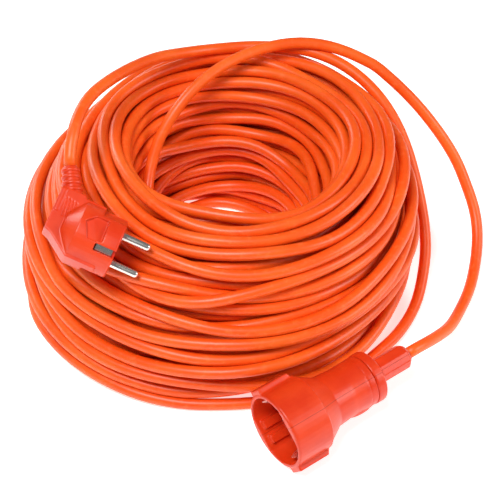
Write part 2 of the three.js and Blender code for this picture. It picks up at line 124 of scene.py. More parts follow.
bpy.context.scene.view_settings.view_transform = "Standard"


# %% Lights
def soft_light(name, place, aim, size, power):
    data = bpy.data.lights.new(name, "AREA")
    data.shape = "DISK"
    data.size = size
    data.energy = power
    light = bpy.data.objects.new(name, data)
    light.location = from_coil(place)
    light.rotation_euler = (from_coil(aim) - light.location).to_track_quat("-Z", "Y").to_euler()
    bpy.context.scene.collection.objects.link(light)


soft_light("key_light", (-250, -500, 1150), (0, 0, 50), 0.5, 12)
soft_light("left_light", (-800, 750, 500), (0, 0, 60), 0.5, 5)
soft_light("right_light", (1050, -250, 600), (0, 0, 60), 0.6, 6.5)

# %% [markdown]
# ## Finishes
# Every finish is a small tree of nodes. Written out link by link such a tree is hard to read, so
# one small class wraps a socket and lets a finish be written as plain sums: noise, gradients and
# masks are numbers that can be added, multiplied and compared. Colours are mixed, bumps and all
# else go through one method that makes any node: its type, then its settings, then its inputs.


# %% A socket that can be added and multiplied
class Value:
    """One output socket of a node tree, usable in sums."""

    def __init__(self, tree, socket):
        self.tree, self.socket = tree, socket

    def sum_with(self, operation, *others, first=None):
        node = self.tree.nodes.new("ShaderNodeMath")
        node.operation = operation
        for entry, value in zip(node.inputs, (self if first is None else first, *others)):
            if isinstance(value, Value):
                self.tree.links.new(value.socket, entry)
            else:
                entry.default_value = value
        return Value(self.tree, node.outputs[0])

    def __add__(self, other): return self.sum_with("ADD", other)
    def __radd__(self, other): return self.sum_with("ADD", other)
    def __sub__(self, other): return self.sum_with("SUBTRACT", other)
    def __rsub__(self, other): return self.sum_with("SUBTRACT", self, first=other)
    def __mul__(self, other): return self.sum_with("MULTIPLY", other)
    def __rmul__(self, other): return self.sum_with("MULTIPLY", other)
    def __truediv__(self, other): return self.sum_with("DIVIDE", other)
    def __rtruediv__(self, other): return self.sum_with("DIVIDE", self, first=other)
    def __pow__(self, other): return self.sum_with("POWER", other)
    def __lt__(self, other): return self.sum_with("LESS_THAN", other)
    def __gt__(self, other): return self.sum_with("GREATER_THAN", other)

    def fraction(self): return self.sum_with("FRACT")
    def size(self): return self.sum_with("ABSOLUTE")

    def between(self, low, high):
        """Nought at low, one at high, smooth in between."""
        node = self.tree.nodes.new("ShaderNodeMapRange")
        node.interpolation_type = "SMOOTHSTEP"
        self.tree.links.new(self.socket, node.inputs["Value"])
        node.inputs["From Min"].default_value = low
        node.inputs["From Max"].default_value = high
        return Value(self.tree, node.outputs["Result"])


class Finish:
    """A material made of nodes round one Principled surface."""

    def __init__(self, name):
        self.material = bpy.data.materials.new(name)
        self.material.use_nodes = True
        self.tree = self.material.node_tree
        self.surface = self.tree.nodes["Principled BSDF"]

    def node(self, kind, settings=None, output=0, **inputs):
        """Any node: its type, its settings, then values or links for its inputs."""
        node = self.tree.nodes.new(kind)
        for key, value in (settings or {}).items():
            setattr(node, key, value)
        for key, value in inputs.items():
            self.put(node.inputs[key.replace("_", " ")], value)
        return Value(self.tree, node.outputs[output])

    def put(self, entry, value):
        if isinstance(value, Value):
            self.tree.links.new(value.socket, entry)
        else:
            entry.default_value = value

    def set(self, **inputs):
        for key, value in inputs.items():
            self.put(self.surface.inputs[key.replace("_", " ")], value)

    def place(self):
        return self.node("ShaderNodeTexCoord", output="Object")

    def noise(self, scale, detail=3.0, where=None):
        return self.node("ShaderNodeTexNoise", output="Fac", Scale=scale, Detail=detail,
                         Vector=where or self.place())

    def mix(self, share, first, second):
        node = self.tree.nodes.new("ShaderNodeMix")
        node.data_type = "RGBA"
        for number, value in ((0, share), (6, first), (7, second)):
            self.put(node.inputs[number], value)
        return Value(self.tree, node.outputs[2])

    def vector_sum(self, operation, first, second, output="Vector"):
        """A sum of a linked vector and a fixed one."""
        made = self.node("ShaderNodeVectorMath", {"operation": operation}, output, Vector=first)
        made.socket.node.inputs[1].default_value = second
        return made

    def soft_plastic(self, glow):
        """Light goes in a couple of millimetres and comes out red."""
        self.set(Subsurface_Weight=glow, Subsurface_Radius=(1.0, 0.2, 0.08),
                 Subsurface_Scale=0.002, Specular_IOR_Level=0.42)

    def bump(self, height, strength, distance=0.0002):
        self.set(Normal=self.node("ShaderNodeBump", Strength=strength, Distance=distance,
                                  Height=height))


# %% [markdown]
# ### Soft plastics
# The jacket and the mouldings are the same soft plastic in two batches: the jacket a bright
# orange, the mouldings a shade redder. Both let a little light in, which is what fills the
# shadows between the turns with deep red instead of grey. The jacket shows dust and rubbing in
# broad pale patches, the mouldings a fine eroded grain from their steel mould. The socket's
# mould opens along the plane of its pins, which leaves a hairline seam: the distance of a point
# from that plane says where the seam is, so it needs no cut. The seam is a shallow groove made
# by a bump, with painted shade: its colour is darkened along the line, as a real groove would be
# in shadow.

# %% Jacket
def jacket_finish():
    finish = Finish("cable_jacket")
    along = finish.node("ShaderNodeUVMap", {"uv_map": "along"}, output="UV")
    gone = finish.node("ShaderNodeSeparateXYZ", output="X", Vector=along)
    patches = finish.noise(22.0, 4.0)
    rubbed = finish.noise(240.0, 3.0)
    shade = finish.mix(patches.between(0.35, 0.68),
                       (0.86, 0.090, 0.005, 1), (0.93, 0.128, 0.010, 1))
    tone = finish.mix(rubbed.between(0.52, 0.75) * 0.35, shade, (0.95, 0.20, 0.05, 1))
    tick_start, tick_end = 0.482, 0.486
    tick_side, tick_other_side = 0.42, 0.52
    place_in_metre = gone.fraction()
    tick = (place_in_metre > tick_start) * (place_in_metre < tick_end)
    around = finish.node("ShaderNodeSeparateXYZ", output="Y", Vector=along)
    printed = tick * (around > tick_side) * (around < tick_other_side)
    finish.set(Base_Color=finish.mix(printed * 0.6, tone, (0.10, 0.02, 0.01, 1)),
               Roughness=0.27 + patches * 0.14 + rubbed * 0.08)
    finish.bump(finish.noise(900.0, 2.0), 0.10)
    finish.soft_plastic(0.12)
    return finish.material


def moulded_finish(name, low, high, roughness, seam=None):
    """Moulded soft plastic between two shades, with a fine grain and perhaps a mould seam drawn as
    a groove with painted shade.
    """
    finish = Finish(name)
    clouds = finish.noise(60.0, 4.0)
    grain = finish.noise(1500.0, 2.0)
    shade = finish.mix(clouds.between(0.3, 0.7), low, high)
    height = grain + clouds * 0.4
    if seam:
        start, across = seam
        away = finish.vector_sum("SUBTRACT", finish.place(), start)
        beside = finish.vector_sum("DOT_PRODUCT", away, across, output="Value")
        line = 1.0 - (beside.size() * 1000.0).between(0.12, 0.34)
        # painted shade: the seam line's colour is darkened to stand for the shadow in its groove
        shade = finish.mix(line * 0.55, shade, tuple(0.45 * c for c in low[:3]) + (1,))
        height = height - line * 6.0
    finish.set(Base_Color=shade, Roughness=roughness + clouds * 0.12 + grain * 0.05)
    finish.bump(height, 0.16)
    finish.soft_plastic(0.08)
    return finish.material


cable_jacket = jacket_finish()
mould_shades = (0.68, 0.034, 0.004, 1), (0.76, 0.052, 0.007, 1)
moulding = moulded_finish("orange_moulding", *mould_shades, 0.28)
seam_turn = math.radians(51.3)
seam_across = Vector((0, -math.sin(seam_turn), math.cos(seam_turn)))
seam_across = (socket_place.to_3x3() @ seam_across).normalized()
socket_moulding = moulded_finish("socket_moulding", *mould_shades, 0.27,
                                 (tuple(socket_place.translation), tuple(seam_across)))
carrier = moulded_finish("carrier_plastic", (0.60, 0.018, 0.003, 1), (0.66, 0.026, 0.005, 1), 0.42)
print("plastics:", cable_jacket.name, moulding.name, carrier.name)

# %% [markdown]
# ### Metals and cores
# The pins and contact strips are brass under bright nickel, drawn along the pins' own length, so
# the brushing is a noise stretched one way. The crimps stay plain brass, a little dull in places.
# The three cores carry the colours that tell them apart: brown, blue, and green with yellow
# stripes.


# %% Metals
def metal_finish(name, bright, dull, roughness):
    finish = Finish(name)
    stretched = finish.node("ShaderNodeMapping", {"vector_type": "POINT"},
                            Vector=finish.place(), Scale=(260.0, 900.0, 900.0))
    brushed = finish.noise(1.0, 3.0, stretched)
    stain = finish.noise(160.0, 4.0)
    finish.set(Base_Color=finish.mix(stain.between(0.5, 0.8), bright, dull), Metallic=1.0,
               Roughness=roughness + brushed * 0.12 + stain * 0.10)
    finish.bump(brushed, 0.05)
    return finish.material


def core_finish(name, colour, stripe=None):
    finish = Finish(name)
    clouds = finish.noise(200.0, 3.0)
    deep = tuple(0.7 * c for c in colour[:3]) + (1,)
    shade = finish.mix(clouds, deep, colour)
    if stripe:
        bands = finish.node("ShaderNodeTexWave", {"bands_direction": "DIAGONAL"}, output="Fac",
                            Scale=55.0, Distortion=0.5, Vector=finish.place())
        shade = finish.mix(bands.between(0.45, 0.55), shade, stripe)
    finish.set(Base_Color=shade, Roughness=0.42 + clouds * 0.1)
    return finish.material


nickel = metal_finish("nickel", (0.80, 0.77, 0.72, 1), (0.62, 0.57, 0.50, 1), 0.16)
brass = metal_finish("brass", (0.78, 0.58, 0.26, 1), (0.50, 0.33, 0.13, 1), 0.26)
brown_core = core_finish("core_brown", (0.13, 0.05, 0.025, 1))
blue_core = core_finish("core_blue", (0.03, 0.12, 0.42, 1))
earth_core = core_finish("core_green_yellow", (0.05, 0.26, 0.04, 1), (0.80, 0.62, 0.03, 1))

# %% [markdown]
# ### Finishes for the frame's own pieces
# Pieces that stay as the frame has them get their finish by what they are: the name of each
# says whether it is a pin, a crimp, a core or a shell.

# %% Dress the frame's pieces
finish_by_name = [
    ("core_live", brown_core), ("core_neutral", blue_core), ("core_earth", earth_core),
    ("crimp", brass), ("earth_socket", brass), ("pin", nickel), ("contact", nickel),
    ("strap", nickel), ("leaf", nickel), ("bridge", carrier), ("insert", carrier),
    ("", moulding),
]


def dress(piece, finish):
    piece.data.materials.clear()
    piece.data.materials.append(finish)


for name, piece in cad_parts.items():
    if not name.startswith("cord_"):
        dress(piece, next(finish for part, finish in finish_by_name if part in name))
print("dressed:", len(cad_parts), "pieces of the frame")

# %% [markdown]
# ## The cable's route
# The cable is one piece from plug to socket: fifty metres, of which a little over a metre lies
# free and the rest is the coil. The free stretches are given routes, the same ones that the
# frame's bars follow. The coil is a loop: each turn has its own slot in the heap's section,
# turn after turn moves to the next slot, and a wandering noise lets neighbours cross. Then the
# turns are settled as a real heap settles: where two pass through each other they push apart,
# none goes below the floor, and the cable's stiffness spreads every push along it.

# %% Free stretches of cable
cable_width = 8.0
relief_lean = math.radians(28.7)
relief_axis = Vector((-math.sin(relief_lean), math.cos(relief_lean), 0))
relief_foot = Vector((-39.4, 22, 0))
relief_end = plug_place @ (relief_foot + relief_axis * 17.8)
relief_way = plug_place @ (relief_foot + relief_axis * 22.8)
boot_end_x = -109.2
boot_end = socket_place @ Vector((boot_end_x, 0, 0))
boot_way = socket_place @ Vector((boot_end_x - 10, 0, 0))
plug_lead = [
    (-85.3, -38.5, 150.5), (-82.5, -22, 156), (-76, -2, 157), (-65.5, 20, 152.5),
    (-51, 45, 144.5), (-35, 67, 135.5), (-15, 85.5, 125.5), (6, 97, 119.6), (28, 101, 118.4),
    (53, 100, 118.4), (72, 96.5, 117.2), (90, 91, 112.5), (105, 83, 106), (118, 73, 97.5),
    (129, 62, 86), (138, 48, 72), (145, 31, 55), (150, 12, 38), (151.5, -6, 25), (149, -24, 15),
    (144, -42, 7.5), (136, -59, 4.6), (125.5, -75.5, 4.4), (112, -91, 4.4),
]
socket_lead = [
    (152, -88, 20), (164, -71, 12.5), (174, -49, 7), (182, -29, 5.5), (187, -11, 8), (190, 6, 15),
    (190, 21, 24), (187, 32, 33), (182, 42, 43), (176, 51, 54), (167, 60, 66), (156, 67, 79),
    (144, 74, 91), (129, 82, 103), (111, 91, 114), (91, 96, 121.5), (70, 97, 126.5),
    (53, 94.5, 127.5), (36, 88.5, 127), (21, 81, 126), (6, 71.5, 123.5), (-10, 58, 118.5),
    (-21, 46.5, 111), (-31, 37, 100), (-38, 29, 87), (-43.5, 20, 75), (-47, 9, 65),
    (-48.2, -4, 57),
]


def smooth_line(points, spacing):
    """A Catmull-Rom curve through points, as points an even spacing apart."""
    points = np.array(points, float)
    padded = np.vstack([2 * points[0] - points[1], points, 2 * points[-1] - points[-2]])
    t = np.linspace(0, 1, 24, endpoint=False)[:, None]
    rows = []
    for a, b, c, d in zip(padded, padded[1:], padded[2:], padded[3:]):
        rows.append(0.5 * (2 * b + (c - a) * t + (2 * a - 5 * b + 4 * c - d) * t * t
                           + (3 * b - a - 3 * c + d) * t * t * t))
    line = np.vstack(rows + [points[-1:]])
    gone = np.concatenate([[0], np.cumsum(np.linalg.norm(np.diff(line, axis=0), axis=1))])
    count = max(2, round(gone[-1] / spacing) + 1)
    even = np.linspace(0, gone[-1], count)
    return np.stack([np.interp(even, gone, line[:, k]) for k in range(3)], axis=1)


def in_coil_frame(place):
    return (np.array(place) - coil_middle) / MM


node_spacing = 10.0
plug_stretch = smooth_line([in_coil_frame(relief_end), in_coil_frame(relief_way)] + plug_lead,
                           node_spacing)
socket_stretch = smooth_line([in_coil_frame(boot_end), in_coil_frame(boot_way)] + socket_lead,
                             node_spacing)
print("free stretches:", len(plug_stretch), "and", len(socket_stretch), "points")

# %% [markdown]
# ## The heap's section
# Cut through one side of the heap and the turns show as round ends, side by side. The outline
# of that cut is wide at the floor and narrow at the rim. Points thrown into it and pushed apart
# until none is nearer than the cable is wide give every turn a slot, with no two alike.

# %% Outline of the heap's section
outside = np.array([(130, 0), (135, 8), (137, 24), (136, 44), (132, 62), (126, 78), (117, 92),
                    (108, 103), (97, 111), (85, 115)], float)
inside = np.array([(58, 0), (60, 24), (62, 44), (64.5, 60), (67, 74), (69, 86), (70, 98), (71, 108),
                   (77, 114.5)], float)
section = np.vstack([outside, inside[::-1]])
heap_lean = np.array([0.183, 0.087])
turns = 81
slot_spacing = 9.7
slot_margin = 4.2
lowest_slot, highest_slot = 4, 112
widest_section = 78
wall_width, wall_foot = 9, 48


def kept_inside(points, margin, past_end=4, past_edge=30):
    """Points moved in until they are a margin away from every edge of the section."""
    for start, end in zip(section, np.roll(section, -1, axis=0)):
        length = np.linalg.norm(end - start)
        along = (end - start) / length
        inward = np.array([-along[1], along[0]])
        far = (points - start) @ along
        depth = (points - start) @ inward
        beside = (far > -past_end) & (far < length + past_end)
        near = beside & (depth < margin) & (depth > -past_edge)
        points[near] += (margin - depth[near])[:, None] * inward
    return points


def slot_places(count, chance, rounds=300, firmness=0.3):
    """Places thrown into the section and pushed apart until they are a slot's width apart."""
    places = []
    while len(places) < count:
        height = chance.uniform(lowest_slot, highest_slot)
        inner = np.interp(height, inside[:, 1], inside[:, 0])
        outer = np.interp(height, outside[:, 1], outside[:, 0])
        if chance.uniform(0, widest_section) < outer - inner:
            places.append((chance.uniform(inner, outer), height))
    places = np.array(places)
    from_itself = np.eye(count) * 99
    for _ in range(rounds):
        apart = places[:, None] - places[None]
        distance = np.linalg.norm(apart, axis=2) + from_itself
        push = np.clip(slot_spacing - distance, 0, None) / distance
        places = kept_inside(places + firmness * (apart * push[:, :, None]).sum(axis=1),
                             slot_margin)
    return places


chance = np.random.default_rng(11)
slots = slot_places(turns, chance)


def winding_order(places):
    """Rows from the floor up, wound out and back, then the inner wall from the rim down."""
    inner = np.interp(places[:, 1], inside[:, 1], inside[:, 0])
    column = (places[:, 0] - inner < wall_width) & (places[:, 1] > wall_foot)
    order = []
    rows = np.floor((places[:, 1] - lowest_slot) / slot_spacing).astype(int)
    for number, row in enumerate(sorted(set(rows[~column]))):
        members = [i for i in np.flatnonzero(~column) if rows[i] == row]
        members.sort(key=lambda i: places[i, 0], reverse=number % 2 == 0)
        order += members
    falling = sorted(np.flatnonzero(column), key=lambda i: -places[i, 1])
    return places[order + falling]


slots = winding_order(slots)
print("slots:", len(slots), "radius", slots[:, 0].min().round(1), "to", slots[:, 0].max().round(1))

# %% [markdown]
# ## Winding the turns
# The line runs clockwise from where the plug's stretch reaches the floor to where the socket's
# stretch dives into the middle. Over each turn it slides from its slot to the next. The noise is
# a sum of slow waves, so that a turn wanders a few millimetres and drifts back, as a cable does
# when it is thrown down by hand.


# %% Wind the coil
def slow_noise(gone, chance, reach, waves=7):
    """A smooth wander: a sum of sine waves, the longest two thirds of a turn."""
    total = np.zeros_like(gone)
    for _ in range(waves):
        rate = chance.uniform(1.2, 5.0)
        total += np.sin(rate * gone + chance.uniform(0, 2 * math.pi)) / waves ** 0.5
    return reach * total


def round_the_axis(place):
    """The turn and the radius of a place round the heap's leaning axis."""
    x = place[0] - heap_lean[0] * place[2]
    y = place[1] - heap_lean[1] * place[2]
    return math.atan2(y, x), math.hypot(x, y)


def wound_line(step=0.07, gap=0.04, radius_wander=2.4, height_wander=3.6, lowest=4.1):
    """The coil as places in millimetres, from the plug's stretch to the socket's."""
    start = plug_stretch[-1]
    finish = socket_stretch[-1]
    start_turn, start_radius = round_the_axis(start)
    finish_turn, finish_radius = round_the_axis(finish)
    sweep = (start_turn - finish_turn) % (2 * math.pi) + 2 * math.pi * (turns - 1)
    gone = np.arange(gap, sweep - gap, step)
    number = gone / (2 * math.pi)
    index = np.clip(number.astype(int), 0, turns - 1)
    following = np.minimum(index + 1, turns - 1)
    shift = chance.uniform(0.0, 0.5, turns)[index]
    ease = np.clip((number - index - shift) / 0.5, 0, 1)
    ease = ease * ease * (3 - 2 * ease)
    place = slots[index] * (1 - ease[:, None]) + slots[following] * ease[:, None]
    radius = place[:, 0] + slow_noise(gone, chance, radius_wander)
    height = np.maximum(place[:, 1] + slow_noise(gone, chance, height_wander), lowest)
    arriving = np.exp(-(gone / 0.7) ** 2)
    leaving = np.exp(-((sweep - gone) / 0.5) ** 2)
    radius += arriving * (start_radius - radius[0]) + leaving * (finish_radius - radius[-1])
    height += arriving * (start[2] - height[0]) + leaving * (finish[2] - height[-1])
    angle = start_turn - gone
    return np.stack([radius * np.cos(angle) + heap_lean[0] * height,
                     radius * np.sin(angle) + heap_lean[1] * height, height], axis=1)


def eased(line, middle, reach=24, rounds=5):
    """The line with its corner round one point spread over its neighbours."""
    part = slice(middle - reach, middle + reach)
    for _ in range(rounds):
        line[part] += 0.5 * (0.5 * (line[middle - reach - 1:middle + reach - 1]
                                    + line[middle - reach + 1:middle + reach + 1]) - line[part])
    return line


wound = wound_line()
route = smooth_line(np.vstack([plug_stretch, wound, socket_stretch[::-1]]), node_spacing)
route = eased(route, len(route) - len(socket_stretch))
loose_points = 5
held = np.zeros(len(route), bool)
held[:len(plug_stretch) - loose_points] = True
held[len(route) - len(socket_stretch) + loose_points:] = True
print("cable:", len(route), "points,", round(len(route) * node_spacing * MM, 1), "m")

# %% [markdown]
# ## Settling the heap
# Each short length of cable is a rod with round ends. Two rods nearer than the cable is wide
# push each other apart by half each. The pushes are then evened out along the cable, because a
# stiff cable can't kink, and every turn is drawn a little back to its own slot, which stands for
# its weight and its memory of the drum. A few hundred rounds leave no two turns in each other.


# %% Settle the turns
def near_pairs(line, reach, block=1500, neighbours=3):
    """Pairs of rods whose middles are near each other and that aren't neighbours on the cable."""
    middle = (0.5 * (line[1:] + line[:-1])).astype(np.float32)
    square = (middle ** 2).sum(axis=1)
    found = []
    for first in range(0, len(middle), block):
        part = middle[first:first + block]
        apart = square[first:first + block, None] + square[None] - 2 * part @ middle.T
        i, j = np.nonzero(apart < reach * reach)
        i += first
        keep = j - i > neighbours
        found.append(np.stack([i[keep], j[keep]]))
    return np.concatenate(found, axis=1)


def rod_distance(line, i, j):
    """The nearest points of rods i and j, as shares along them, and the vector between."""
    p, q = line[i], line[j]
    u, v = line[i + 1] - p, line[j + 1] - q
    w = p - q
    uu, vv, uv = (u * u).sum(1), (v * v).sum(1), (u * v).sum(1)
    uw, vw = (u * w).sum(1), (v * w).sum(1)
    s = np.clip((uv * vw - vv * uw) / np.maximum(uu * vv - uv * uv, 1e-6), 0, 1)
    t = np.clip((uv * s + vw) / vv, 0, 1)
    s = np.clip((uv * t - uw) / uu, 0, 1)
    return s, t, w + s[:, None] * u - t[:, None] * v


def pushed_apart(line, pairs, width, free, eagerness=1.3):
    """The line with touching rods pushed apart, how many touched and how deep the worst was."""
    i, j = pairs
    s, t, gap = rod_distance(line, i, j)
    distance = np.linalg.norm(gap, axis=1)
    touching = distance < width
    i, j, s, t, gap, distance = (a[touching] for a in (i, j, s, t, gap, distance))
    step = 0.5 * ((width - distance) / np.maximum(distance, 1e-4))[:, None] * gap
    move = np.zeros_like(line)
    weight = np.zeros(len(line))
    for index, share, sign in ((i, 1 - s, 1), (i + 1, s, 1), (j, 1 - t, -1), (j + 1, t, -1)):
        for axis in range(3):
            move[:, axis] += np.bincount(index, sign * share * step[:, axis], len(line))
        weight += np.bincount(index, share, len(line))
    move /= np.maximum(weight, 1.0)[:, None]
    worst = width - distance.min(initial=width)
    return line + eagerness * move * free[:, None], int(touching.sum()), worst


def settled(line, held, rounds, rounds_per_search=8, pull_home=0.012):
    """The line after so many rounds of pushing apart, evening out and drawing back."""
    home = line.copy()
    free = (~held).astype(float)
    for number in range(rounds):
        if number % rounds_per_search == 0:
            pairs = near_pairs(line, cable_width + node_spacing + 5)
            distance = np.linalg.norm(rod_distance(line, *pairs)[2], axis=1)
            pairs = pairs[:, distance < cable_width + 4]
        calm = min(1.0, 1.6 * number / rounds)
        line, count, worst = pushed_apart(line, pairs, cable_width * 1.015, free)
        offset = line - home
        even = offset.copy()
        even[1:-1] = 0.25 * offset[:-2] + 0.5 * offset[1:-1] + 0.25 * offset[2:]
        offset += (0.55 - 0.4 * calm) * (even - offset) * free[:, None]
        offset *= 1 - pull_home * (1 - calm)
        line = home + offset
        line[:, 2] = np.maximum(line[:, 2], 0.5 * cable_width + 0.05)
    print("settled:", count, "touches, deepest", round(float(worst), 2), "mm")
    return line


settling_rounds = 260
route = settled(route, held, settling_rounds)
steps = np.linalg.norm(np.diff(route, axis=0), axis=1)
print("cable length:", round(steps.sum() * MM, 2), "m")


def tightest_bend(line, reach=2):
    """The smallest radius of a circle through points a few steps apart, and where it is."""
    a, b, c = line[:-2 * reach], line[reach:-reach], line[2 * reach:]
    sides = [np.linalg.norm(q - p, axis=1) for p, q in ((a, b), (b, c), (a, c))]
    area = 0.5 * np.linalg.norm(np.cross(b - a, c - a), axis=1)
    radius = sides[0] * sides[1] * sides[2] / np.maximum(4 * area, 1e-9)
    return float(radius.min()), int(radius.argmin()) + reach


bend, bend_place = tightest_bend(route)
print("tightest bend:", round(bend, 1), "mm at point", bend_place, "of", len(route),
      route[bend_place].round(0))

# %% [markdown]
# ## A skin round the line
# A round cable is a ring of points carried along the line, square to it and without any twist
# from ring to ring. The piece gets its own map, in metres along the cable and as a share of the
# way round it, so that a finish can follow the cable through every turn. A line of rings is
# better here than a bevelled curve, because the map and the number of faces stay in our hands.

# %% Skin the cable
cable_sides = 12
ring_spacing = 6.8


def carried_frames(line):
    """Directions along and across the line at every point, without any twist between them."""
    ahead = np.gradient(line, axis=0)
    ahead /= np.linalg.norm(ahead, axis=1)[:, None]
    across = np.zeros_like(line)
    side = np.cross(ahead[0], (0, 0, 1.0))
    for k, way in enumerate(ahead):
        side = side - way * (side @ way)
        side = side / math.sqrt(side @ side)
        across[k] = side
    return ahead, across, np.cross(ahead, across)


def tube_mesh(name, line, radius, sides):
    """A closed tube round a line of places in metres; radius may change along it."""
    ahead, across, upward = carried_frames(line)
    angle = np.arange(sides) * 2 * math.pi / sides
    radius = np.broadcast_to(radius, len(line))
    cosine, sine = np.cos(angle)[None, :, None], np.sin(angle)[None, :, None]
    spokes = across[:, None] * cosine + upward[:, None] * sine
    rings = line[:, None] + radius[:, None, None] * spokes
    count = len(line)
    vertices = np.vstack([rings.reshape(-1, 3), line[:1], line[-1:]])
    k, m = np.meshgrid(np.arange(count - 1), np.arange(sides), indexing="ij")
    nxt = (m + 1) % sides
    this_ring, next_ring = k * sides, (k + 1) * sides
    faces = np.stack([this_ring + m, this_ring + nxt, next_ring + nxt, next_ring + m], -1)
    faces = faces.reshape(-1, 4).tolist()
    first, last = count * sides, count * sides + 1
    around = [(m, (m + 1) % sides) for m in range(sides)]
    faces += [(first, b, a) for a, b in around]
    faces += [(last, (count - 1) * sides + a, (count - 1) * sides + b) for a, b in around]
    mesh = bpy.data.meshes.new(name)
    mesh.from_pydata(vertices.tolist(), [], faces)
    gone = np.concatenate([[0], np.cumsum(np.linalg.norm(np.diff(line, axis=0), axis=1))])
    corners = np.zeros((len(mesh.loops), 2), np.float32)
    quads = (count - 1) * sides
    start = np.stack([gone[k], m / sides], -1)
    corners[:4 * quads] = np.stack([
        start, np.stack([gone[k], (m + 1) / sides], -1),
        np.stack([gone[k + 1], (m + 1) / sides], -1), np.stack([gone[k + 1], m / sides], -1)],
        axis=2).reshape(-1, 2)
    mesh.uv_layers.new(name="along").data.foreach_set("uv", corners.ravel())
    mesh.shade_smooth()
    mesh.validate()
    return mesh


def new_piece(name, mesh):
    """A piece of the cord. Every one rides on the root body, which lies still."""
    piece = bpy.data.objects.new(name, mesh)
    bpy.context.scene.collection.objects.link(piece)
    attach(piece, "root")
    return piece


cable_line = smooth_line(route, ring_spacing) * MM + coil_middle
cable = new_piece("cable", tube_mesh("cable", cable_line, 0.5 * cable_width * MM, cable_sides))
cable_length = float(np.linalg.norm(np.diff(cable_line, axis=0), axis=1).sum())
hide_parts("cord_coil", "cord_plug_lead", "cord_connector_lead")
dress(cable, cable_jacket)
print("cable:", round(cable_length, 2), "m,", 2 * len(cable.data.polygons), "triangles")

# %% [markdown]
# ## Moulded shells
# The plug and the socket are shot from soft plastic in one go, so no edge of theirs is sharp.
# Each shell starts as a merged copy of the frame's own piece. Ribs are added and grooves are cut,
# then the whole is rebuilt on a fine grid and smoothed a little, which rounds every edge by about
# half a millimetre, as a mould does. Bevelling every edge by hand would give the same look with
# far more work, and would fail where ribs run into curves.


# %% Tools for shells
def frame_copy(name, place):
    """A merged copy of a frame piece, in the local millimetres of the part it belongs to."""
    shape = bmesh.new()
    shape.from_mesh(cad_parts[name].data)
    bmesh.ops.remove_doubles(shape, verts=shape.verts, dist=1e-6)
    shape.transform(place.inverted())
    return shape


def box_between(low, high):
    shape = bmesh.new()
    bmesh.ops.create_cube(shape, size=1)
    low, high = Vector(low), Vector(high)
    shape.transform(Matrix.Translation(0.5 * (low + high)) @ Matrix.Diagonal((*(high - low), 1)))
    return shape


def beam(start, end, width, height):
    """A straight block from start to end, so wide and so high."""
    start, end = Vector(start), Vector(end)
    way = end - start
    shape = box_between((0, -width / 2, -height / 2), (way.length, width / 2, height / 2))
    shape.transform(Matrix.Translation(start) @ way.to_track_quat("X", "Z").to_matrix().to_4x4())
    return shape


def disc(along, radius, thickness):
    """A round disc square to local x."""
    shape = bmesh.new()
    bmesh.ops.create_cone(shape, segments=64, radius1=radius, radius2=radius, depth=thickness,
                          cap_ends=True)
    shape.transform(Matrix.Translation((along, 0, 0)) @ Matrix.Rotation(math.pi / 2, 4, "Y"))
    return shape


def hull(points):
    """The tightest closed shape round a handful of points."""
    shape = bmesh.new()
    for point in points:
        shape.verts.new(point)
    bmesh.ops.convex_hull(shape, input=shape.verts)
    return shape


def one_object(shapes, name):
    """Several shapes as one object."""
    whole = bpy.data.meshes.new(name)
    joined = bmesh.new()
    for shape in shapes:
        part = bpy.data.meshes.new("part")
        shape.to_mesh(part)
        shape.free()
        joined.from_mesh(part)
        bpy.data.meshes.remove(part)
    joined.to_mesh(whole)
    joined.free()
    holder = bpy.data.objects.new(name, whole)
    bpy.context.scene.collection.objects.link(holder)
    return holder


def baked(holder, name):
    """The object's mesh with its modifiers applied; the object itself is thrown away."""
    bpy.context.view_layer.update()
    ready = holder.evaluated_get(bpy.context.evaluated_depsgraph_get())
    mesh = bpy.data.meshes.new_from_object(ready)
    mesh.name = name
    bpy.data.objects.remove(holder)
    return mesh


def softened(name, place, solids, cuts=(), grid=0.55, rounds=3):
    """Solids joined, cuts taken away, and every edge rounded on a grid in millimetres."""
    holder = one_object(solids, name)
    cutter = None
    if cuts:
        cutter = one_object(cuts, "cutter")
        boolean = holder.modifiers.new("cut", "BOOLEAN")
        boolean.operation = "DIFFERENCE"
        boolean.solver = "EXACT"
        boolean.use_self = True
        boolean.object = cutter
    remesh = holder.modifiers.new("grid", "REMESH")
    remesh.mode = "VOXEL"
    remesh.voxel_size = grid * 1.0
    smooth = holder.modifiers.new("smooth", "SMOOTH")
    smooth.factor = 0.5
    smooth.iterations = rounds
    mesh = baked(holder, name)
    if cutter:
        bpy.data.objects.remove(cutter)
    mesh.transform(place)
    mesh.shade_smooth()
    print(name + ":", 2 * len(mesh.polygons), "triangles")
    return mesh


def finished_piece(name, mesh, finish, replaced):
    """A piece with its finish, in place of some pieces of the frame."""
    piece = new_piece(name, mesh)
    dress(piece, finish)
    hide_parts(*replaced)
    return piece


# %% [markdown]
# ### The plug's shell
# The block behind the hood is gripped between two fingers, so it has a field of thin slanted
# grooves on each broad face and a rounded ridge along its rear edge. The grooves are cut as
# narrow beams sunk into the face. The hood carries a five-sided pocket whose floor slopes down
# towards the pins, which saves plastic and gives the fingers an edge to pull on.

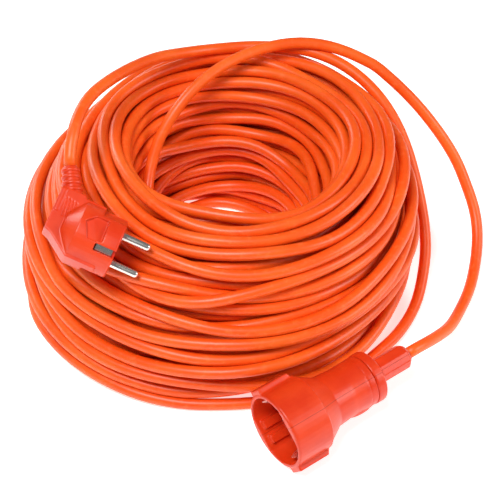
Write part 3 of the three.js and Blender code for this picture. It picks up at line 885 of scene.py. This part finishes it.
# %% Plug shell
block_half = 8.0
grooves, groove_pitch, groove_width, groove_height = 4, 2.2, 1.1, 2.0
plug_cuts = []
for side in (1, -1):
    for number in range(grooves):
        top = (-41.4 + groove_pitch * number, 16.0 - 0.4 * number, side * block_half)
        foot = (-39.6 + groove_pitch * number, 3.0 + 0.8 * number, side * block_half)
        plug_cuts.append(beam(top, foot, groove_width, groove_height))
    plug_cuts.append(hull(
        [(-25, 3, side * 24), (-19, 9, side * 24), (-11, 9, side * 24), (-10.5, -6, side * 24),
         (-20, -7, side * 24), (-25, 3, side * 18.2), (-19, 9, side * 16.6),
         (-11, 9, side * 16.2), (-10.5, -6, side * 16.6), (-20, -7, side * 18.0)]))
plug_solids = [frame_copy("plug_body", plug_place)]
for side in (1, -1):
    plug_solids.append(beam((-44.6, 20.5, side * 7.6), (-44.6, 5, side * 7.6), 2.6, 2.2))
plug_skin = softened("plug_shell", plug_place, plug_solids, plug_cuts, 0.45, 2)
finished_piece("plug_shell", plug_skin, moulding, ["plug_body"])

# %% [markdown]
# ### Rings on the bend relief
# Where the cable leaves the plug, a sleeve thins towards the cable and carries rings, so that it
# bends a little at each gap and never kinks. The rings are the same shape again and again, each a
# touch smaller: a line of points with one bead put on every point says exactly that, and the
# count, the pitch and the taper stay three numbers.


# %% A tree that strings beads on a line
def bead_tree():
    tree = bpy.data.node_groups.new("beads_on_a_line", "GeometryNodeTree")
    identifiers = {}
    for name, kind in (("Count", "NodeSocketInt"), ("Pitch", "NodeSocketFloat"),
                       ("Radius", "NodeSocketFloat"), ("Thickness", "NodeSocketFloat"),
                       ("Taper", "NodeSocketFloat"), ("Finish", "NodeSocketMaterial")):
        entry = tree.interface.new_socket(name, in_out="INPUT", socket_type=kind)
        identifiers[name] = entry.identifier
    tree.interface.new_socket("Geometry", in_out="OUTPUT", socket_type="NodeSocketGeometry")
    add, link = tree.nodes.new, tree.links.new
    given, made = add("NodeGroupInput"), add("NodeGroupOutput")
    offset = add("ShaderNodeCombineXYZ")
    link(given.outputs["Pitch"], offset.inputs["Z"])
    line = add("GeometryNodeMeshLine")
    link(given.outputs["Count"], line.inputs["Count"])
    link(offset.outputs[0], line.inputs["Offset"])
    ring, bead = add("GeometryNodeCurvePrimitiveCircle"), add("GeometryNodeCurvePrimitiveCircle")
    ring.inputs["Resolution"].default_value = 40
    bead.inputs["Resolution"].default_value = 12
    link(given.outputs["Radius"], ring.inputs["Radius"])
    link(given.outputs["Thickness"], bead.inputs["Radius"])
    swept = add("GeometryNodeCurveToMesh")
    link(ring.outputs["Curve"], swept.inputs["Curve"])
    link(bead.outputs["Curve"], swept.inputs["Profile Curve"])
    number = add("GeometryNodeInputIndex")
    thinner, share = add("ShaderNodeMath"), add("ShaderNodeMath")
    thinner.operation, share.operation = "MULTIPLY", "SUBTRACT"
    link(number.outputs[0], thinner.inputs[0])
    link(given.outputs["Taper"], thinner.inputs[1])
    share.inputs[0].default_value = 1.0
    link(thinner.outputs[0], share.inputs[1])
    size = add("ShaderNodeCombineXYZ")
    link(share.outputs[0], size.inputs["X"])
    link(share.outputs[0], size.inputs["Y"])
    size.inputs["Z"].default_value = 1.0
    placed = add("GeometryNodeInstanceOnPoints")
    link(line.outputs["Mesh"], placed.inputs["Points"])
    link(swept.outputs["Mesh"], placed.inputs["Instance"])
    link(size.outputs[0], placed.inputs["Scale"])
    real, painted = add("GeometryNodeRealizeInstances"), add("GeometryNodeSetMaterial")
    link(placed.outputs[0], real.inputs[0])
    link(real.outputs[0], painted.inputs["Geometry"])
    link(given.outputs["Finish"], painted.inputs["Material"])
    link(painted.outputs[0], made.inputs[0])
    return tree, identifiers


beads, bead_inputs = bead_tree()


def string_of_beads(name, **values):
    holder = bpy.data.objects.new(name, bpy.data.meshes.new(name))
    bpy.context.scene.collection.objects.link(holder)
    modifier = holder.modifiers.new("beads", "NODES")
    modifier.node_group = beads
    for key, value in values.items():
        modifier[bead_inputs[key]] = value
    mesh = baked(holder, name)
    mesh.shade_smooth()
    return mesh


def along_axis(place, foot, way):
    """A matrix that stands local z along a direction, from a foot."""
    turn = Vector((0, 0, 1)).rotation_difference(Vector(way)).to_matrix().to_4x4()
    return place @ Matrix.Translation(foot) @ turn


# %% Bend relief: a tapering sleeve and its rings
relief_stand = along_axis(plug_place, relief_foot, relief_axis)
sleeve_steps = np.linspace(-6, 17.6, 40)
sleeve_line = np.array([relief_stand @ Vector((0, 0, float(s))) for s in sleeve_steps])
sleeve_radius = np.interp(sleeve_steps, [-6, 15.5, 17, 17.6], [6.4, 5.3, 5.0, 4.4]) * MM
sleeve_skin = tube_mesh("plug_relief_sleeve", sleeve_line, sleeve_radius, 40)
finished_piece("plug_relief_sleeve", sleeve_skin, moulding,
               ["plug_bend_relief"])
rings = string_of_beads("plug_relief_rings", Count=4, Pitch=4.3, Radius=5.35, Thickness=1.55,
                        Taper=0.035, Finish=moulding)
rings.transform(relief_stand @ Matrix.Translation((0, 0, 1.9)))
relief_rings = new_piece("plug_relief_rings", rings)


# %% [markdown]
# ### Pins
# A pin is turned from brass rod and plated: a plain cylinder with a rounded tip. It is made here
# as a tube whose radius follows a quarter circle at the tip.

# %% Pins
pin_profile = [(-13, 2.0), (-11, 2.4), (16.6, 2.4), (17.4, 2.3), (18.1, 2.0), (18.6, 1.55),
               (18.9, 1.0), (19.0, 0.3)]
pin_turn = math.radians(30)
pin_from_middle = 9.5
for name, side in (("live", 1), ("neutral", -1)):
    across = Vector((0, math.cos(pin_turn), math.sin(pin_turn))) * pin_from_middle * side
    line = np.array([plug_place @ (across + Vector((x, 0, 0))) for x, _ in pin_profile])
    radius = np.array([r for _, r in pin_profile]) * MM
    finished_piece("plug_pin_" + name + "_turned", tube_mesh("plug_pin_" + name, line, radius, 36),
                   nickel, ["plug_pin_" + name])

# %% [markdown]
# ### The socket's shells
# The socket is three mouldings in a row: the body with its cup, a collar that screws on behind
# it, and an eight-sided boot round the cable. The body gets a raised pad on its side and a shallow
# ring groove in front of the collar. The seam where the two halves of its mould met is already
# in its finish, as a bump with painted shade along it.

# %% Socket shells
socket_solids = [frame_copy("connector_body", socket_place)]
pad = bmesh.new()
bmesh.ops.create_uvsphere(pad, u_segments=32, v_segments=16, radius=1)
pad.transform(Matrix.Rotation(math.radians(-50), 4, "X") @ Matrix.Translation((-61, 15.4, 0))
              @ Matrix.Diagonal((11.5, 3.4, 7.0, 1)))
socket_solids.append(pad)
groove_at = -66.5
groove_holder = one_object([disc(groove_at, 19, 1.0)], "groove")
core_holder = one_object([disc(groove_at, 16.75, 1.2)], "hole")
hollowed = groove_holder.modifiers.new("hollow", "BOOLEAN")
hollowed.operation, hollowed.solver, hollowed.object = "DIFFERENCE", "EXACT", core_holder
ring_shape = bmesh.new()
ring_shape.from_mesh(baked(groove_holder, "groove"))
bpy.data.objects.remove(core_holder)
socket_skins = [
    ("socket_shell", socket_solids, [ring_shape], 0.55, "connector_body"),
    ("socket_collar_ring", [frame_copy("connector_collar", socket_place)], (), 0.5,
     "connector_collar"),
    ("socket_boot_sleeve", [frame_copy("connector_boot", socket_place)], (), 0.5,
     "connector_boot"),
]
on_cable = [
    finished_piece(name, softened(name, socket_place, solids, cuts, grid), socket_moulding,
                   [replaced])
    for name, solids, cuts, grid, replaced in socket_skins]

# %% The cable and what hangs on it
on_cable += [piece for name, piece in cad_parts.items()
             if name.startswith("connector_") and not piece.hide_render]
